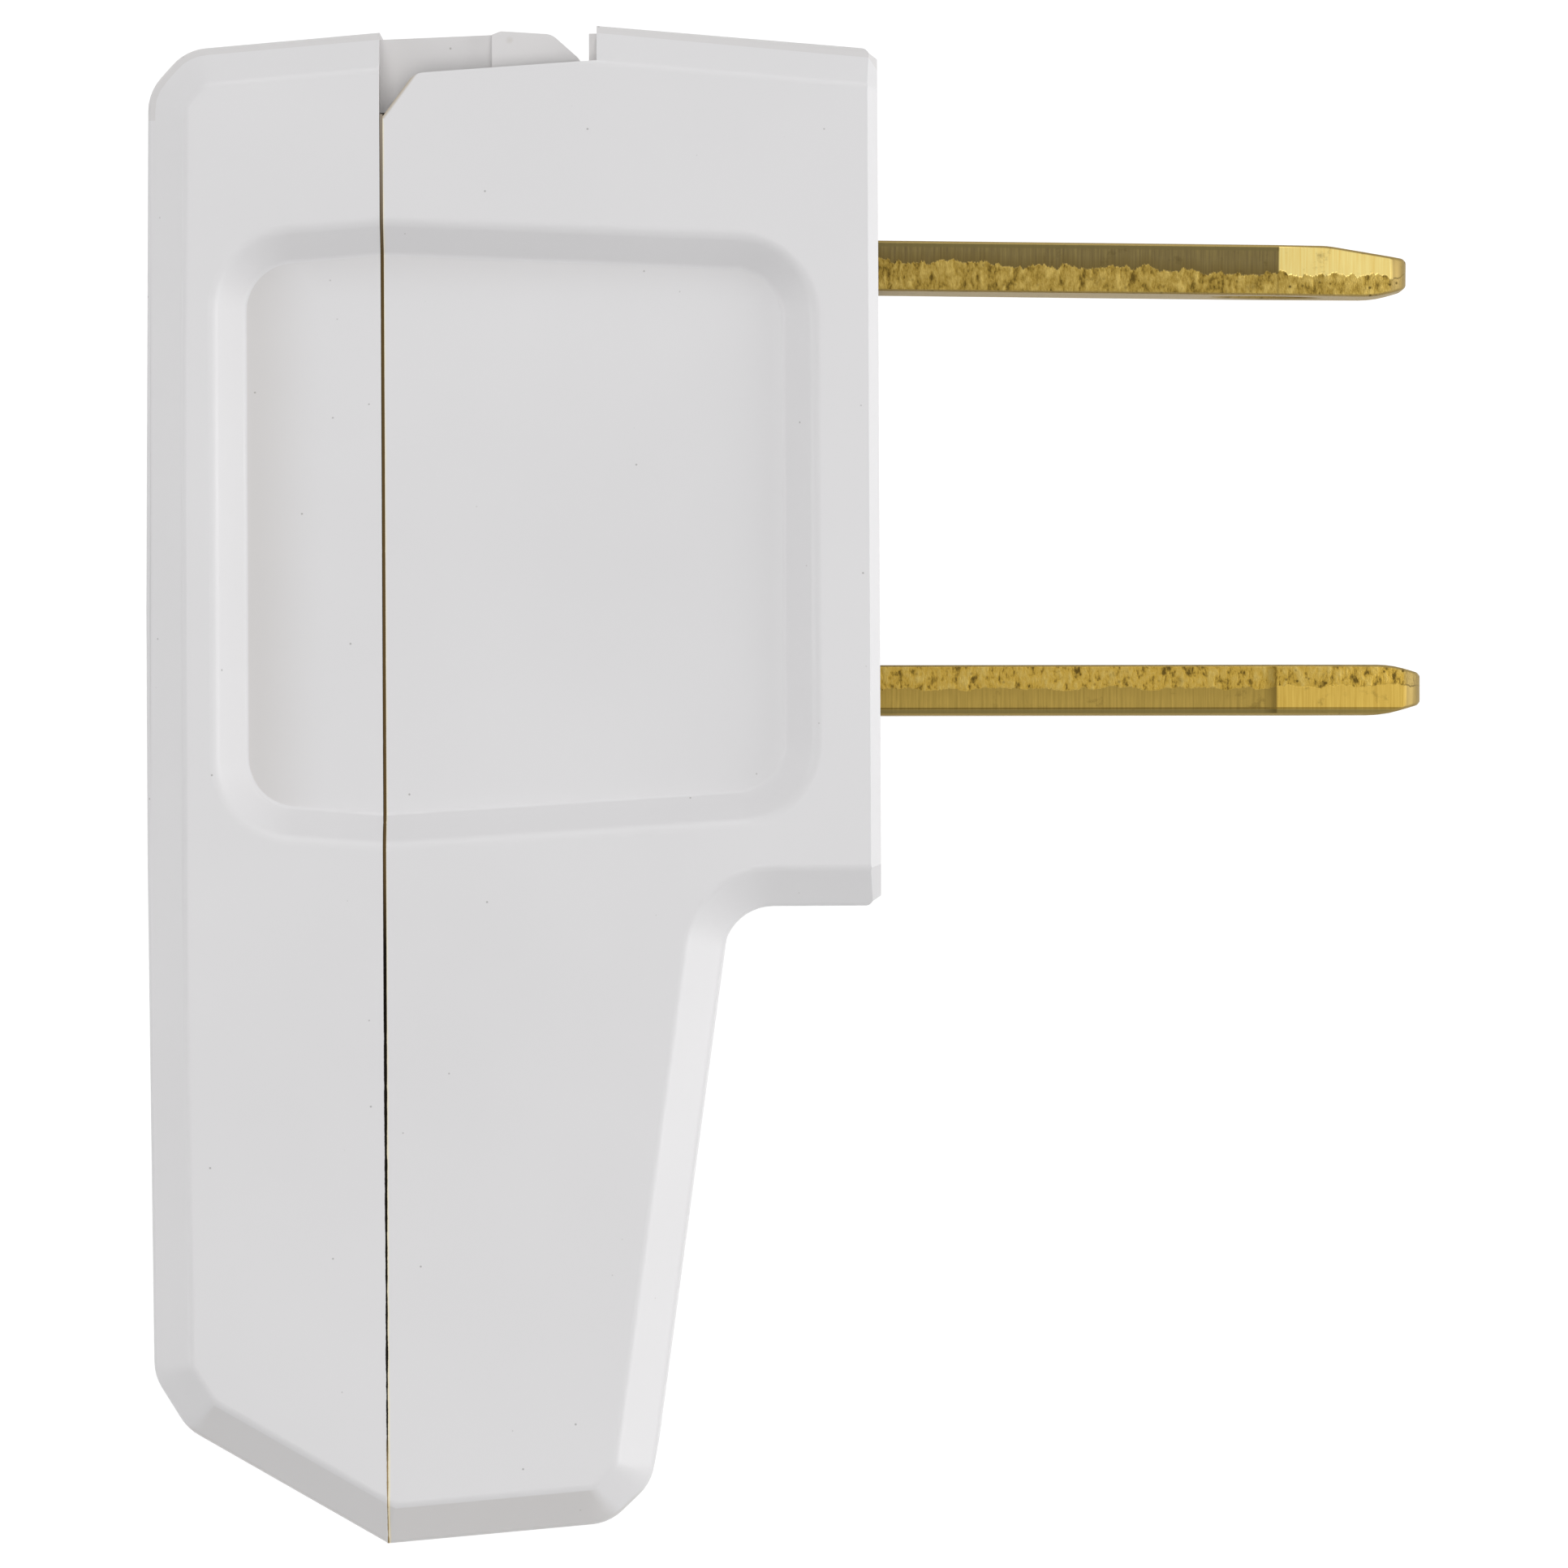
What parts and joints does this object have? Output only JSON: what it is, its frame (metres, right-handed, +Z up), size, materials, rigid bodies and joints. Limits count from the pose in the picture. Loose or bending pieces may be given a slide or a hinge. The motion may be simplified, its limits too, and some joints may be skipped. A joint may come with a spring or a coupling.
{
  "type": "straight blade plug",
  "caption": "Rewirable flat-blade mains plug: white moulded halves with finger-grip recesses, brass blades and a cord leg set at right angles to them.",
  "frame": {"origin": "on the mating face, midway between the blades", "axes": "+X out along the blades, +Y from the cord end to the hooked end, +Z up from the side that the plug lies on"},
  "size_m": [0.0382, 0.0452, 0.025],
  "materials": {
    "white_plastic": "moulded satin",
    "blade_brass": "sheared strip",
    "clamp_brass": "stamped",
    "screw_steel": "zinc plated"
  },
  "bodies": {
    "root": {"front_body": "white_plastic", "rear_cover": "white_plastic", "upper_blade": "blade_brass", "lower_blade": "blade_brass", "upper_wire_clamp": "clamp_brass", "lower_wire_clamp": "clamp_brass", "upper_terminal_screw": "screw_steel", "lower_terminal_screw": "screw_steel", "cover_screw": "screw_steel"}
  },
  "joints": []
}
